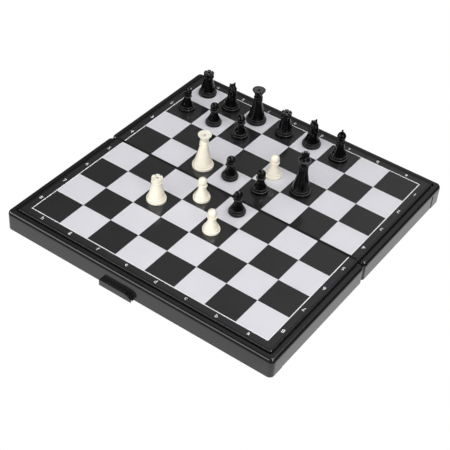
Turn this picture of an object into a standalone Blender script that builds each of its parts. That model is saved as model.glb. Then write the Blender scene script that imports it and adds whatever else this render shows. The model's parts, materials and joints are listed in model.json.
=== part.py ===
"""Folding magnetic travel chess set: a two-part plastic case whose outside is the board, with 18 men on it.

The board lies open and flat. +X runs along the seam between the halves, -Y points to the latch side,
+Z points up. The origin is on the ground, under the middle of the whole set's box.
The near half stays put. The far half folds under it about the seam hinge, until the rims meet.
"""
import math

import bmesh
import bpy
from mathutils import Matrix, Vector

# Board, in metres. The square is the driving size.
SQUARE = 0.035
FIELD_GAP = 0.0035            # between the two printed fields, across the seam
WALL_MARGIN = 0.0185          # printed field to the outside of the case
PLATEAU_MARGIN = 0.0126       # printed field to the edge of the raised plateau
SHEET_MARGIN = 0.0085         # printed field to the edge of the printed sheet
SEAM_GAP = 0.0005             # clear gap between the two halves

# Case heights, from the ground
RIM_Z = 0.0025                # underside of the walls, where the two halves meet when closed
CEILING_Z = 0.0226            # inside of the top
BOARD_Z = 0.0262              # top of the plateau
PLATEAU_STEP = 0.0015         # the plateau stands this far above the rim strip
RECESS_DEPTH = 0.0016         # pocket in the plateau for the steel plate and the printed sheet

# Case walls
WALL = 0.0022
CORNER_RADIUS = 0.005
TOP_RADIUS = 0.003
PLATEAU_CORNER = 0.002
PANEL_DEPTH = 0.0005          # shallow panel in each side wall
PANEL_END = 0.0175            # solid length of side wall left at the outer corner
PLATEAU_EDGE = 0.0004         # rounding of the plateau's top edge
PLATEAU_ROOT = 0.0005         # the plateau's block starts this far above the ceiling
SEAM_STRIP = 0.0006           # plateau left standing between the recess and the seam
BEYOND = 0.01                 # how far a cutter runs past the outside of the case

# Sheet metal and print
LAYER = 0.0004
LAYER_GAP = 0.0003
CLEARANCE = 0.0003

# Hinge
KNUCKLE_RADIUS = 0.0023
KNUCKLE_LENGTH = 0.009
KNUCKLES = 5
KNUCKLE_ROOM = 0.0004         # clear space round the other half's knuckles
BORE_RADIUS = 0.0013
PIN_RADIUS = 0.001
HINGE_X = 0.1                 # middle of each hinge, left and right of centre
PIN_SHORT = 0.0005            # each pin ends this far inside the last knuckle
ROUND_SIDES = 12              # sides of every round part

# Locating lips under the walls: they carry the open board and line the halves up when it is closed
LIP_THICKNESS = 0.0015
LIP_TOP = 0.008
NEAR_LIP_X = (0.07, 0.13)
FAR_LIP_X = (0.025, 0.06)
NEAR_LIP_Y = (0.1, 0.145)
FAR_LIP_Y = (0.03, 0.08)

# Sliding latch on the near wall and its rail on the far wall
LATCH_LENGTH = 0.0385
LATCH_HEIGHT = 0.007
LATCH_DEPTH = 0.0047
LATCH_LEFT = -0.036
LATCH_RAMP = (0.009, 0.0052)  # length and drop of the curved leading end
LATCH_TRAVEL = 0.017
STEM_X = -0.0175              # middle of the stem that goes through the wall
STEM_SIZE = (0.0032, 0.002)
STEM_Z = 0.0068
STEM_HEAD = (0.0065, 0.0014, 0.005)
OVERRUN = 0.001               # how far the latch's own cutters run past its faces
GROOVE_LENGTH = 0.018         # slot under the latch that takes the rail
RAIL_ROOM = 0.0004            # clear space round the rail's head in that slot
RAIL_X = (0.0033, 0.017)
RAIL_FROM_WALL = 0.00265      # middle plane of the rail, out from the wall
RAIL_NECK = 0.0008
RAIL_HEAD = 0.0022
RAIL_REACH = 0.0023           # how far the rail passes the rim plane
RAIL_HEAD_HEIGHT = 0.0009
RAIL_ARM_HEIGHT = 0.003
ROOT = 0.0008                 # how deep the rail's arm and the stem's head reach into what they join
NECK_INSET = 0.0002           # the rail's neck is this much shorter at each end

# Men
MEN_GAP = 0.0002              # base to printed sheet
MAGNET_THICKNESS = 0.002
CROWN_HOLE = 0.0013           # radius of the hole down a rook's or a queen's crown
CROWN_HOLE_DEPTH = 0.006
ROOK_TOP = 0.0284
ROOK_NOTCHES = 6
ROOK_NOTCH = (0.005, 0.0014, 0.0036)
ROOK_NOTCH_MIDDLE = 0.006
QUEEN_TOP = 0.0404
CROSS_THICKNESS = 0.0026
HORSE_THICKNESS = 0.0068
CROSS_TURN = math.radians(32)
HORSE_TURN = math.radians(-30)

# Worked-out places, with the seam at y = 0
HALF_X = 4 * SQUARE + WALL_MARGIN
HALF_Y = 4 * SQUARE + FIELD_GAP / 2 + WALL_MARGIN
RIM_TOP_Z = BOARD_Z - PLATEAU_STEP
SHEET_Z = BOARD_Z - RECESS_DEPTH + 2 * LAYER_GAP + 2 * LAYER
LATCH_OUT = CLEARANCE + LATCH_DEPTH
RAIL_OUT = RAIL_FROM_WALL + RAIL_HEAD / 2
SEAM_Y = (LATCH_OUT - RAIL_OUT) / 2

# The men: name, kind, colour, square (file 0 = left, rank 0 = latch side) and how far off its centre
MEN = [
    ("black_rook_left", "rook", "black", (0, 7), (-0.0025, 0.0055)),
    ("black_knight_left", "knight", "black", (1, 7), (-0.0015, 0.0005)),
    ("black_queen", "queen", "black", (2, 7), (-0.0015, -0.001)),
    ("black_rook_right", "rook", "black", (3, 7), (0.0005, -0.0005)),
    ("black_knight_right", "knight", "black", (4, 7), (-0.001, 0.002)),
    ("black_bishop", "bishop", "black", (5, 7), (-0.001, 0.0005)),
    ("black_pawn_1", "pawn", "black", (0, 6), (-0.003, 0.002)),
    ("black_pawn_2", "pawn", "black", (1, 6), (0.0005, -0.0005)),
    ("black_pawn_3", "pawn", "black", (2, 6), (0.0005, -0.0005)),
    ("black_king", "king", "black", (5, 5), (-0.002, -0.003)),
    ("white_pawn_1", "pawn", "white", (4, 5), (-0.003, 0.001)),
    ("white_queen", "queen", "white", (2, 4), (0.001, 0.0015)),
    ("black_pawn_4", "pawn", "black", (3, 4), (-0.0015, 0.0045)),
    ("black_pawn_5", "pawn", "black", (4, 4), (0.0, 0.006)),
    ("white_pawn_2", "pawn", "white", (3, 3), (-0.0035, -0.0035)),
    ("black_pawn_6", "pawn", "black", (4, 3), (0.0015, 0.002)),
    ("white_rook", "rook", "white", (2, 2), (-0.0025, 0.001)),
    ("white_pawn_3", "pawn", "white", (4, 2), (-0.0025, -0.0015)),
]

# Base radius and magnet radius of each kind
BASES = {
    "pawn": (0.009, 0.006),
    "rook": (0.0103, 0.006),
    "knight": (0.0103, 0.006),
    "bishop": (0.0103, 0.006),
    "queen": (0.0114, 0.007),
    "king": (0.0114, 0.007),
}

PARTS = None
CUTTERS = None


def clear_scene():
    for obj in list(bpy.data.objects):
        bpy.data.objects.remove(obj, do_unlink=True)


def new_collection(name):
    collection = bpy.data.collections.new(name)
    bpy.context.scene.collection.children.link(collection)
    return collection


def new_material(name, color, roughness, metallic=0.0):
    material = bpy.data.materials.new(name)
    material.use_nodes = True
    shader = material.node_tree.nodes["Principled BSDF"]
    shader.inputs["Base Color"].default_value = (*color, 1.0)
    shader.inputs["Roughness"].default_value = roughness
    shader.inputs["Metallic"].default_value = metallic
    material.diffuse_color = (*color, 1.0)
    return material


def new_object(name, mesh, material=None, parent=None, location=(0, 0, 0)):
    """A part of the object when it has a material, else a cutter or a piece to be joined to a part."""
    obj = bpy.data.objects.new(name, mesh)
    obj.location = location
    obj.parent = parent
    if material:
        if not mesh.materials:
            mesh.materials.append(material)
        PARTS.objects.link(obj)
    else:
        obj.hide_render = True
        obj.display_type = "WIRE"
        CUTTERS.objects.link(obj)
    return obj


def mesh_from(bm, name):
    bmesh.ops.recalc_face_normals(bm, faces=bm.faces)
    mesh = bpy.data.meshes.new(name)
    bm.to_mesh(mesh)
    bm.free()
    return mesh


def add_box(bm, low, high):
    low = Vector(low)
    high = Vector(high)
    place = Matrix.Translation((low + high) / 2) @ Matrix.Diagonal((*(high - low), 1.0))
    bmesh.ops.create_cube(bm, size=1.0, matrix=place)


def box_mesh(name, boxes):
    """One mesh of separate boxes, each given by its low and high corner."""
    bm = bmesh.new()
    for low, high in boxes:
        add_box(bm, low, high)
    return mesh_from(bm, name)


def rounded_box_mesh(name, low, high, plan_radius, plan_steps, top_radius=0.0, top_steps=1):
    """A box with rounded upright edges and, where asked, a rounded top edge."""
    bm = bmesh.new()
    add_box(bm, low, high)
    upright = [e for e in bm.edges if (e.verts[0].co - e.verts[1].co).to_2d().length < 1e-6]
    bmesh.ops.bevel(bm, geom=upright, offset=plan_radius, segments=plan_steps, profile=0.5, affect="EDGES")
    if top_radius:
        top = [e for e in bm.edges if all(abs(v.co.z - high[2]) < 1e-6 for v in e.verts)]
        bmesh.ops.bevel(bm, geom=top, offset=top_radius, segments=top_steps, profile=0.5, affect="EDGES")
    return mesh_from(bm, name)


def rods_mesh(name, spans, radius, z, sides):
    """Round rods along X, at y = 0 and height z, one for each span of x."""
    bm = bmesh.new()
    for start, end in spans:
        turn = Matrix.Translation(((start + end) / 2, 0, z)) @ Matrix.Rotation(math.radians(90), 4, "Y")
        bmesh.ops.create_cone(bm, cap_ends=True, segments=sides, radius1=radius, radius2=radius,
                              depth=end - start, matrix=turn)
    return mesh_from(bm, name)


def combine(target, operation, name, mesh):
    """Cut a mesh out of the target, or join it on, with a Boolean modifier."""
    tool = new_object(name, mesh, parent=target.parent, location=target.location)
    modifier = target.modifiers.new(name, "BOOLEAN")
    modifier.operation = operation
    modifier.solver = "EXACT"
    modifier.object = tool


def y_span(side, near, far):
    """A span of distances from the seam, on the near (-1) or far (+1) half."""
    return tuple(sorted((side * near, side * far)))


def case_box(side, x, y, z):
    """A box on one half: x and z are spans, y a span of distances from the seam."""
    low_y, high_y = y_span(side, *y)
    return (x[0], low_y, z[0]), (x[1], high_y, z[1])


def knuckle_spans(own):
    """Spans along X of one half's knuckles: the near half owns the odd ones, counted from 1."""
    pitch = KNUCKLE_LENGTH + CLEARANCE
    spans = []
    for middle in (-HINGE_X, HINGE_X):
        start = middle - (KNUCKLES * pitch - CLEARANCE) / 2
        for index in range(KNUCKLES):
            if index % 2 == own:
                spans.append((start + index * pitch, start + index * pitch + KNUCKLE_LENGTH))
    return spans


def lip_boxes(side):
    """The lips of one half: their roots on the inside of the walls and their tongues down to the ground."""
    x_span, lip_y = (NEAR_LIP_X, NEAR_LIP_Y) if side < 0 else (FAR_LIP_X, FAR_LIP_Y)
    inner_y = HALF_Y - WALL
    inner_x = HALF_X - WALL
    roots = []
    tongues = []
    for hand in (-1, 1):
        x = tuple(sorted((hand * x_span[0], hand * x_span[1])))
        y = (inner_y - CLEARANCE - LIP_THICKNESS, inner_y)
        roots.append(case_box(side, x, (y[0] + CLEARANCE, y[1] + CLEARANCE), (RIM_Z + CLEARANCE, LIP_TOP)))
        tongues.append(case_box(side, x, (y[0], y[1] - CLEARANCE), (0, LIP_TOP - CLEARANCE)))
        wall_x = sorted((hand * (inner_x - LIP_THICKNESS), hand * (inner_x + CLEARANCE)))
        roots.append(case_box(side, wall_x, lip_y, (RIM_Z + CLEARANCE, LIP_TOP)))
        wall_x = sorted((hand * (inner_x - CLEARANCE - LIP_THICKNESS), hand * (inner_x - CLEARANCE)))
        tongues.append(case_box(side, wall_x, lip_y, (0, LIP_TOP - CLEARANCE)))
    return roots, tongues


def make_shell(side, name, parent, location, material):
    """One half of the case: a tray that opens downwards, with the board's plateau on top."""
    seam = SEAM_GAP / 2
    low, high = case_box(side, (-HALF_X, HALF_X), (seam, HALF_Y), (RIM_Z, RIM_TOP_Z))
    mesh = rounded_box_mesh(name, low, high, CORNER_RADIUS, 5, TOP_RADIUS, 4)
    shell = new_object(name, mesh, material, parent, location)

    plateau_x = 4 * SQUARE + PLATEAU_MARGIN
    plateau_y = 4 * SQUARE + FIELD_GAP / 2 + PLATEAU_MARGIN
    low, high = case_box(side, (-plateau_x, plateau_x), (seam, plateau_y),
                         (CEILING_Z + PLATEAU_ROOT, BOARD_Z))
    plateau = rounded_box_mesh(name + "_plateau", low, high, PLATEAU_CORNER, 3, PLATEAU_EDGE, 2)
    combine(shell, "UNION", name + "_plateau", plateau)

    low, high = case_box(side, (-HALF_X + WALL, HALF_X - WALL), (seam + WALL, HALF_Y - WALL),
                         (-BEYOND, CEILING_Z))
    cavity = rounded_box_mesh(name + "_cavity", low, high, CORNER_RADIUS - WALL, 3)
    combine(shell, "DIFFERENCE", name + "_cavity", cavity)

    sheet_x = 4 * SQUARE + SHEET_MARGIN
    sheet_y = 4 * SQUARE + FIELD_GAP / 2 + SHEET_MARGIN
    recess = box_mesh(name + "_recess", [case_box(side, (-sheet_x, sheet_x), (seam + SEAM_STRIP, sheet_y),
                                                  (BOARD_Z - RECESS_DEPTH, BOARD_Z + BEYOND))])
    combine(shell, "DIFFERENCE", name + "_recess", recess)

    panels = []
    panel_z = (-BEYOND, RIM_TOP_Z - TOP_RADIUS - CLEARANCE)
    for hand in (-1, 1):
        x = sorted((hand * (HALF_X - PANEL_DEPTH), hand * (HALF_X + BEYOND)))
        panels.append(case_box(side, x, (-BEYOND, HALF_Y - PANEL_END), panel_z))
    combine(shell, "DIFFERENCE", name + "_side_panels", box_mesh(name + "_side_panels", panels))

    own = 0 if side < 0 else 1
    notches = [(start - CLEARANCE, end + CLEARANCE) for start, end in knuckle_spans(1 - own)]
    notch_mesh = rods_mesh(name + "_hinge_notches", notches, KNUCKLE_RADIUS + KNUCKLE_ROOM, RIM_Z,
                           ROUND_SIDES)
    combine(shell, "DIFFERENCE", name + "_hinge_notches", notch_mesh)
    knuckle_mesh = rods_mesh(name + "_knuckles", knuckle_spans(own), KNUCKLE_RADIUS, RIM_Z, ROUND_SIDES)
    combine(shell, "UNION", name + "_knuckles", knuckle_mesh)
    reach = (KNUCKLES * (KNUCKLE_LENGTH + CLEARANCE)) / 2 + CLEARANCE
    bores = [(middle - reach, middle + reach) for middle in (-HINGE_X, HINGE_X)]
    bore_mesh = rods_mesh(name + "_bores", bores, BORE_RADIUS, RIM_Z, ROUND_SIDES)
    combine(shell, "DIFFERENCE", name + "_bores", bore_mesh)

    roots, tongues = lip_boxes(side)
    combine(shell, "UNION", name + "_lip_roots", box_mesh(name + "_lip_roots", roots))
    combine(shell, "UNION", name + "_lip_tongues", box_mesh(name + "_lip_tongues", tongues))
    return shell


def add_latch_slot(shell):
    """The slot in the near wall for the latch's stem, always covered by the latch."""
    half_length = STEM_SIZE[0] / 2 + CLEARANCE
    half_height = STEM_SIZE[1] / 2 + CLEARANCE
    low = (STEM_X - half_length, -HALF_Y - OVERRUN, STEM_Z - half_height)
    high = (STEM_X + LATCH_TRAVEL + half_length, -HALF_Y + WALL + OVERRUN, STEM_Z + half_height)
    combine(shell, "DIFFERENCE", "latch_slot", box_mesh("latch_slot", [(low, high)]))


def add_latch_rail(shell):
    """The T rail on the far wall: an arm out from the wall, a neck past the rim and a wider head."""
    middle = HALF_Y + RAIL_FROM_WALL
    arm_z = RIM_Z + CLEARANCE
    head_z = RIM_Z - RAIL_REACH
    arm = ((RAIL_X[0], HALF_Y - ROOT, arm_z), (RAIL_X[1], middle + RAIL_HEAD / 2, arm_z + RAIL_ARM_HEIGHT))
    neck = ((RAIL_X[0] + NECK_INSET, middle - RAIL_NECK / 2, head_z + RAIL_HEAD_HEIGHT / 2),
            (RAIL_X[1] - NECK_INSET, middle + RAIL_NECK / 2, arm_z + RAIL_ARM_HEIGHT / 2))
    head = ((RAIL_X[0], middle - RAIL_HEAD / 2, head_z),
            (RAIL_X[1], middle + RAIL_HEAD / 2, head_z + RAIL_HEAD_HEIGHT))
    for name, box in (("rail_arm", arm), ("rail_neck", neck), ("rail_head", head)):
        combine(shell, "UNION", name, box_mesh(name, [box]))


def make_layers(side, name, parent, location, steel, printed):
    """The thin steel plate that the magnets hold to, and the printed sheet over it."""
    edge_x = 4 * SQUARE + SHEET_MARGIN - CLEARANCE
    edge_y = 4 * SQUARE + FIELD_GAP / 2 + SHEET_MARGIN - CLEARANCE
    seam = SEAM_GAP / 2 + SEAM_STRIP + CLEARANCE
    bottom = BOARD_Z - RECESS_DEPTH + LAYER_GAP
    for label, material in (("steel_plate", steel), ("board_sheet", printed)):
        box = case_box(side, (-edge_x, edge_x), (seam, edge_y), (bottom, bottom + LAYER))
        mesh = box_mesh(f"{name}_{label}", [box])
        new_object(f"{name}_{label}", mesh, material, parent, location)
        bottom += LAYER + LAYER_GAP


def outline_mesh(name, points, thickness):
    """A flat outline in the XZ plane, given as (x, z) points, with its thickness along Y."""
    curve = bpy.data.curves.new(name, "CURVE")
    curve.dimensions = "2D"
    curve.fill_mode = "BOTH"
    curve.extrude = thickness / 2
    spline = curve.splines.new("POLY")
    spline.points.add(len(points) - 1)
    for point, (x, z) in zip(spline.points, points):
        point.co = (x, z, 0, 1)
    spline.use_cyclic_u = True
    flat = bpy.data.objects.new(name, curve)
    PARTS.objects.link(flat)
    graph = bpy.context.evaluated_depsgraph_get()
    mesh = bpy.data.meshes.new_from_object(flat.evaluated_get(graph))
    bpy.data.objects.remove(flat, do_unlink=True)
    bm = bmesh.new()
    bm.from_mesh(mesh)
    bmesh.ops.remove_doubles(bm, verts=bm.verts, dist=0.00001)
    bmesh.ops.rotate(bm, verts=bm.verts, matrix=Matrix.Rotation(math.radians(90), 3, "X"))
    return mesh_from(bm, name)


def make_latch(parent, material):
    """The sliding latch: a bar with a curved leading end, a stem through the wall and a slot for the rail."""
    right = LATCH_LEFT + LATCH_LENGTH
    top = RIM_Z + LATCH_HEIGHT
    ramp_length, ramp_drop = LATCH_RAMP
    points = [(LATCH_LEFT, RIM_Z), (right, RIM_Z)]
    steps = 6
    for index in range(steps + 1):
        angle = math.radians(90) * index / steps
        x = right - ramp_length + ramp_length * math.cos(angle)
        points.append((x, top - ramp_drop + ramp_drop * math.sin(angle)))
    points.append((LATCH_LEFT, top))
    points = [(x - STEM_X, z - STEM_Z) for x, z in points]
    mesh = outline_mesh("latch_slider", points, LATCH_DEPTH)
    middle = -HALF_Y - CLEARANCE - LATCH_DEPTH / 2
    latch = new_object("latch_slider", mesh, material, parent, (STEM_X, middle, STEM_Z))

    wall_inside = CLEARANCE + LATCH_DEPTH / 2 + WALL
    stem = ((-STEM_SIZE[0] / 2, 0, -STEM_SIZE[1] / 2),
            (STEM_SIZE[0] / 2, wall_inside + ROOT, STEM_SIZE[1] / 2))
    head_width, head_depth, head_height = STEM_HEAD
    head_start = wall_inside + CLEARANCE
    head = ((-head_width / 2, head_start, -head_height / 2),
            (head_width / 2, head_start + head_depth, head_height / 2))
    combine(latch, "UNION", "latch_stem", box_mesh("latch_stem", [stem]))
    combine(latch, "UNION", "latch_head", box_mesh("latch_head", [head]))

    rail_y = -HALF_Y - RAIL_FROM_WALL - middle
    floor = RIM_Z - STEM_Z
    lip = RAIL_REACH - RAIL_HEAD_HEIGHT - RAIL_ROOM
    neck_half = RAIL_NECK / 2 + CLEARANCE
    head_half = RAIL_HEAD / 2 + RAIL_ROOM
    end = right - STEM_X + OVERRUN
    start = end - OVERRUN - GROOVE_LENGTH
    neck = ((start, rail_y - neck_half, floor - OVERRUN),
            (end, rail_y + neck_half, floor + lip + NECK_INSET))
    chamber = ((start, rail_y - head_half, floor + lip),
               (end, rail_y + head_half, floor + RAIL_REACH + RAIL_ROOM))
    combine(latch, "DIFFERENCE", "latch_groove", box_mesh("latch_groove", [neck]))
    combine(latch, "DIFFERENCE", "latch_chamber", box_mesh("latch_chamber", [chamber]))


def arc(middle_z, radius, start, end, steps):
    """Points on a ball's outline, from one angle above the horizontal to another, in degrees."""
    points = []
    for index in range(steps + 1):
        angle = math.radians(start + (end - start) * index / steps)
        points.append((radius * math.cos(angle), middle_z + radius * math.sin(angle)))
    return points


def upper_outline(kind):
    """The turned outline of a man above its base, top to bottom, as (radius, height) in millimetres."""
    if kind == "pawn":
        return [(0, 26.75)] + arc(22.05, 4.7, 60, -50, 4) + [
            (5.2, 17.3), (5.2, 16.8), (3.6, 16.0), (4.1, 12.5), (5.3, 8.8), (7.3, 5.7)]
    if kind == "rook":
        return [(0, 28.4), (5.7, 28.4), (5.5, 22.8), (5.5, 21.6), (4.6, 20.9), (5.0, 18.0), (6.0, 13.5),
                (7.2, 9.0), (8.4, 5.7)]
    if kind == "bishop":
        return [(0, 37.2), (1.1, 36.5), (1.1, 35.6), (0.8, 35.2)] + arc(29.6, 4.8, 60, -50, 4) + [
            (3.4, 24.6), (4.5, 23.6), (4.5, 22.8), (3.9, 22.3), (4.7, 21.6), (4.7, 20.8), (4.0, 20.2),
            (5.0, 17.0), (6.3, 12.6), (7.5, 8.6), (8.4, 5.7)]
    if kind == "queen":
        return [(0, 40.4), (6.0, 40.4), (6.4, 40.9), (7.1, 40.9), (7.1, 40.0), (3.8, 34.6), (3.9, 32.6),
                (4.9, 31.8), (4.9, 30.4), (4.3, 29.6), (4.9, 28.8), (4.9, 27.5), (5.1, 26.2), (5.9, 22.0),
                (7.4, 13.5), (8.6, 8.6), (9.5, 5.7)]
    if kind == "king":
        return [(0, 44.4), (1.6, 44.4), (4.6, 42.8), (6.7, 42.2), (7.3, 42.2), (7.3, 41.3), (4.2, 35.6),
                (4.2, 34.4), (5.0, 33.4), (5.0, 32.0), (4.5, 31.2), (5.0, 30.4), (5.0, 29.0), (5.2, 27.4),
                (6.0, 22.6), (7.6, 13.5), (8.8, 8.6), (9.5, 5.7)]
    return [(0, 12.0), (5.6, 12.0), (6.4, 10.5), (7.4, 8.2), (8.4, 5.7)]


def man_outline(kind):
    """The whole outline: upper part, two base rings and the magnet's pocket, top to bottom, in metres."""
    base, magnet = BASES[kind]
    points = [(radius / 1000, height / 1000) for radius, height in upper_outline(kind)]
    points += [(base - 0.0012, 0.0054), (base - 0.0007, 0.0048), (base - 0.0009, 0.0034), (base, 0.0026),
               (base, 0.0006), (base - 0.0005, 0)]
    pocket = magnet + CLEARANCE
    points += [(pocket, 0), (pocket, MAGNET_THICKNESS + 2 * CLEARANCE), (0, MAGNET_THICKNESS + 2 * CLEARANCE)]
    return points


def turned_mesh(name, points):
    """An open outline for the Screw modifier."""
    bm = bmesh.new()
    verts = [bm.verts.new((radius, 0, height)) for radius, height in points]
    for first, second in zip(verts, verts[1:]):
        bm.edges.new((first, second))
    mesh = bpy.data.meshes.new(name)
    bm.to_mesh(mesh)
    bm.free()
    return mesh


def add_screw(obj):
    modifier = obj.modifiers.new("turn", "SCREW")
    modifier.axis = "Z"
    modifier.angle = math.radians(360)
    modifier.steps = ROUND_SIDES
    modifier.render_steps = ROUND_SIDES
    modifier.use_merge_vertices = True
    modifier.merge_threshold = 0.00005
    modifier.use_smooth_shade = True


def cut_crown_hole(man, top):
    """A hole down the middle of a crown."""
    bm = bmesh.new()
    bmesh.ops.create_cone(bm, cap_ends=True, segments=ROUND_SIDES, radius1=CROWN_HOLE, radius2=CROWN_HOLE,
                          depth=2 * CROWN_HOLE_DEPTH, matrix=Matrix.Translation((0, 0, top)))
    combine(man, "DIFFERENCE", man.name + "_hole", mesh_from(bm, man.name + "_hole"))


def cut_rook_top(rook):
    """A hole down the middle and six notches round the rim."""
    cut_crown_hole(rook, ROOK_TOP)
    bm = bmesh.new()
    for index in range(ROOK_NOTCHES):
        turn = Matrix.Rotation(math.tau * index / ROOK_NOTCHES, 4, "Z")
        notch = turn @ Matrix.Translation((ROOK_NOTCH_MIDDLE, 0, ROOK_TOP))
        bmesh.ops.create_cube(bm, size=1.0, matrix=notch @ Matrix.Diagonal((*ROOK_NOTCH, 1.0)))
    combine(rook, "DIFFERENCE", rook.name + "_notches", mesh_from(bm, rook.name + "_notches"))


def cut_queen_top(queen):
    cut_crown_hole(queen, QUEEN_TOP)


def add_king_cross(king):
    """The cross on top: an upright and two arms that widen outwards."""
    narrow = 0.0012
    wide = 0.0019
    arm = 0.0039
    low = 0.0436
    middle = 0.0480
    top = 0.0514
    points = [(-wide, low), (wide, low), (narrow, middle - narrow), (arm, middle - wide),
              (arm, middle + wide), (narrow, middle + narrow), (wide, top), (-wide, top),
              (-narrow, middle + narrow), (-arm, middle + wide), (-arm, middle - wide),
              (-narrow, middle - narrow)]
    mesh = outline_mesh(king.name + "_cross", points, CROSS_THICKNESS)
    mesh.transform(Matrix.Rotation(CROSS_TURN, 4, "Z"))
    combine(king, "UNION", king.name + "_cross", mesh)


def add_horse_head(knight):
    """The horse's head and neck, a flat-sided form with its nose towards +X before it is turned."""
    points = [(-4.6, 10.5), (4.4, 10.5), (4.4, 14.0), (3.2, 17.0), (2.6, 19.6), (3.6, 19.2), (5.4, 18.0),
              (7.2, 18.6), (7.9, 20.4), (7.2, 22.4), (5.8, 24.2), (4.2, 26.8), (2.6, 29.2), (1.4, 30.6),
              (0.8, 33.0), (-0.6, 31.2), (-2.6, 29.4), (-4.6, 25.4), (-5.6, 20.4), (-5.6, 15.0)]
    mesh = outline_mesh(knight.name + "_head", [(x / 1000, z / 1000) for x, z in points], HORSE_THICKNESS)
    mesh.transform(Matrix.Rotation(HORSE_TURN, 4, "Z"))
    combine(knight, "UNION", knight.name + "_head", mesh)


def make_magnet(name, radius, parent, location, material):
    bm = bmesh.new()
    bmesh.ops.create_cone(bm, cap_ends=True, segments=ROUND_SIDES, radius1=radius, radius2=radius,
                          depth=MAGNET_THICKNESS,
                          matrix=Matrix.Translation((0, 0, CLEARANCE + MAGNET_THICKNESS / 2)))
    new_object(name + "_magnet", mesh_from(bm, name + "_magnet"), material, parent, location)


def square_place(square, offset):
    """The place of a man in plan, with the seam at y = 0."""
    file_index, rank_index = square
    x = (file_index - 3.5) * SQUARE + offset[0]
    y = (rank_index - 3.5) * SQUARE + offset[1]
    y += FIELD_GAP / 2 if rank_index > 3 else -FIELD_GAP / 2
    return x, y


def make_men(near, far, plastics, magnet_material):
    """Every man, on the half that it stands on."""
    finish = {"rook": cut_rook_top, "queen": cut_queen_top, "king": add_king_cross, "knight": add_horse_head}
    meshes = {}
    for name, kind, colour, square, offset in MEN:
        x, y = square_place(square, offset)
        on_far = square[1] > 3
        parent = far if on_far else near
        z = SHEET_Z + MEN_GAP - (RIM_Z if on_far else 0)
        key = (kind, colour)
        if key not in meshes:
            meshes[key] = turned_mesh(f"{colour}_{kind}_outline", man_outline(kind))
        man = new_object(name, meshes[key], plastics[colour], parent, (x, y, z))
        add_screw(man)
        if kind in finish:
            finish[kind](man)
        make_magnet(name, BASES[kind][1], parent, (x, y, z), magnet_material)


def make_empty(name, location, parent=None):
    empty = bpy.data.objects.new(name, None)
    empty.empty_display_size = 0.02
    empty.location = location
    empty.parent = parent
    PARTS.objects.link(empty)
    return empty


def main():
    global PARTS, CUTTERS
    clear_scene()
    PARTS = new_collection("folding_chess_set")
    CUTTERS = new_collection("cutters")

    case = new_material("case_plastic", (0.035, 0.035, 0.037), 0.3)
    latch = new_material("latch_plastic", (0.035, 0.035, 0.037), 0.3)
    printed = new_material("printed_sheet", (0.2, 0.2, 0.21), 0.35)
    steel = new_material("steel", (0.55, 0.56, 0.58), 0.35, 1.0)
    magnet = new_material("magnet", (0.12, 0.12, 0.13), 0.5, 1.0)
    plastics = {
        "black": new_material("black_plastic", (0.012, 0.012, 0.013), 0.18),
        "white": new_material("white_plastic", (0.86, 0.82, 0.7), 0.35),
    }

    near = make_empty("near_half", (0, SEAM_Y, 0))
    far = make_empty("fold_axis", (0, 0, RIM_Z), near)

    near_shell = make_shell(-1, "near_shell", near, (0, 0, 0), case)
    add_latch_slot(near_shell)
    far_shell = make_shell(1, "far_shell", far, (0, 0, -RIM_Z), case)
    add_latch_rail(far_shell)
    make_layers(-1, "near", near, (0, 0, 0), steel, printed)
    make_layers(1, "far", far, (0, 0, -RIM_Z), steel, printed)

    pin_half = (KNUCKLES * (KNUCKLE_LENGTH + CLEARANCE) - CLEARANCE) / 2 - PIN_SHORT
    for label, middle in (("left", -HINGE_X), ("right", HINGE_X)):
        span = (middle - pin_half, middle + pin_half)
        mesh = rods_mesh(f"hinge_pin_{label}", [span], PIN_RADIUS, 0, ROUND_SIDES)
        new_object(f"hinge_pin_{label}", mesh, steel, near, (0, 0, RIM_Z))

    make_latch(near, latch)
    make_men(near, far, plastics, magnet)


main()
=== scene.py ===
"""Looks of the folding magnetic travel chess set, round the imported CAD.

Everything is in metres in the CAD's own frame: +X along the seam, -Y towards the latch, +Z up.
The men's outlines are in millimetres, each about its own axis.
"""
import json
import math

import bmesh
import bpy
from mathutils import Matrix, Vector

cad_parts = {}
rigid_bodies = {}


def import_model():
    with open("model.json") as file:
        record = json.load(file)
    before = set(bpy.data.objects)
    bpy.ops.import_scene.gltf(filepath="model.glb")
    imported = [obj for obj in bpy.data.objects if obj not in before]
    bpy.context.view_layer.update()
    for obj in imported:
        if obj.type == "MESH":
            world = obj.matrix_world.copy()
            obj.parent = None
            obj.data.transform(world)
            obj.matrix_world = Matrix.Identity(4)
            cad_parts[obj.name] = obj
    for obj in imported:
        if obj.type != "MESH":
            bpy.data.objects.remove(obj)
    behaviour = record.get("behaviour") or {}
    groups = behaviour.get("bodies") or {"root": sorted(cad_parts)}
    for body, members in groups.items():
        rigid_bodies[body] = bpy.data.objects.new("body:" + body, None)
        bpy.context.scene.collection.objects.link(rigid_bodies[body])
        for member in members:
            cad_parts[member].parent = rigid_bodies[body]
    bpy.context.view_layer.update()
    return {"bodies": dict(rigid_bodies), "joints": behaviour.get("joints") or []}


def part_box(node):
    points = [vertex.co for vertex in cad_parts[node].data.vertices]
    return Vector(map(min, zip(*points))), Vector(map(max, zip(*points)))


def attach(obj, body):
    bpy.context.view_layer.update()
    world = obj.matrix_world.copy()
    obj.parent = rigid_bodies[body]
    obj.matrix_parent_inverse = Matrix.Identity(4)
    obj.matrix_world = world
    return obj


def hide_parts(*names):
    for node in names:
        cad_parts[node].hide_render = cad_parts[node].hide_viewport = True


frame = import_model()

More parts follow.
